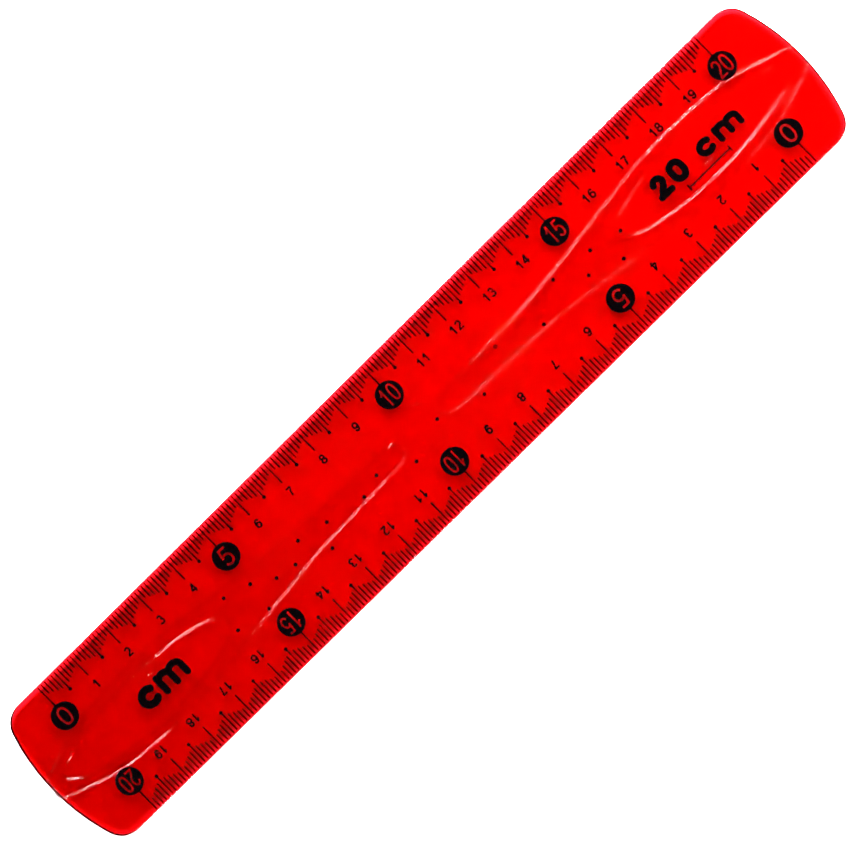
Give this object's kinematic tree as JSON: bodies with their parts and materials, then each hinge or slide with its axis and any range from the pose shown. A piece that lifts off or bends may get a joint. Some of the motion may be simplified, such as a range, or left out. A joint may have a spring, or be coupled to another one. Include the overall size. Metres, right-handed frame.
{
  "type": "flexible ruler",
  "caption": "Flat flexible ruler in soft see-through plastic, with a printed centimetre scale along each long edge and two raised teardrop bands round lens-shaped panels.",
  "frame": {"origin": "on the plane that the back rests on, under the two 10 cm marks, which are at the middle of the ruler", "axes": "+X along the length, the way the upper scale counts; +Y across the width, towards the upper scale; +Z out of the printed top face"},
  "size_m": [0.2277, 0.038, 0.0026],
  "materials": {
    "soft_pvc": "gloss, translucent red, soft moulded PVC",
    "black_ink": "satin black print"
  },
  "bodies": {
    "root": {"lower_marks_00_to_05": "black_ink", "lower_marks_05_to_10": "black_ink", "lower_marks_10_to_15": "black_ink", "lower_marks_15_to_20": "black_ink", "lower_numeral_01": "black_ink", "lower_numeral_02": "black_ink", "lower_numeral_03": "black_ink", "lower_numeral_04": "black_ink", "lower_numeral_06": "black_ink", "lower_numeral_07": "black_ink", "lower_numeral_08": "black_ink", "lower_numeral_09": "black_ink", "lower_numeral_11": "black_ink", "lower_numeral_12": "black_ink", "lower_numeral_13": "black_ink", "lower_numeral_14": "black_ink", "lower_numeral_16": "black_ink", "lower_numeral_17": "black_ink", "lower_numeral_18": "black_ink", "lower_numeral_19": "black_ink", "lower_roundel_00": "black_ink", "lower_roundel_05": "black_ink", "lower_roundel_10": "black_ink", "lower_roundel_15": "black_ink", "lower_roundel_20": "black_ink", "panel_left_letter_c": "black_ink", "panel_left_letter_m": "black_ink", "panel_right_digit_0": "black_ink", "panel_right_digit_2": "black_ink", "panel_right_dimension_line": "black_ink", "panel_right_letter_c": "black_ink", "panel_right_letter_m": "black_ink", "ruler_body": "soft_pvc", "upper_marks_00_to_05": "black_ink", "upper_marks_05_to_10": "black_ink", "upper_marks_10_to_15": "black_ink", "upper_marks_15_to_20": "black_ink", "upper_numeral_01": "black_ink", "upper_numeral_02": "black_ink", "upper_numeral_03": "black_ink", "upper_numeral_04": "black_ink", "upper_numeral_06": "black_ink", "upper_numeral_07": "black_ink", "upper_numeral_08": "black_ink", "upper_numeral_09": "black_ink", "upper_numeral_11": "black_ink", "upper_numeral_12": "black_ink", "upper_numeral_13": "black_ink", "upper_numeral_14": "black_ink", "upper_numeral_16": "black_ink", "upper_numeral_17": "black_ink", "upper_numeral_18": "black_ink", "upper_numeral_19": "black_ink", "upper_roundel_00": "black_ink", "upper_roundel_05": "black_ink", "upper_roundel_10": "black_ink", "upper_roundel_15": "black_ink", "upper_roundel_20": "black_ink"}
  },
  "joints": []
}
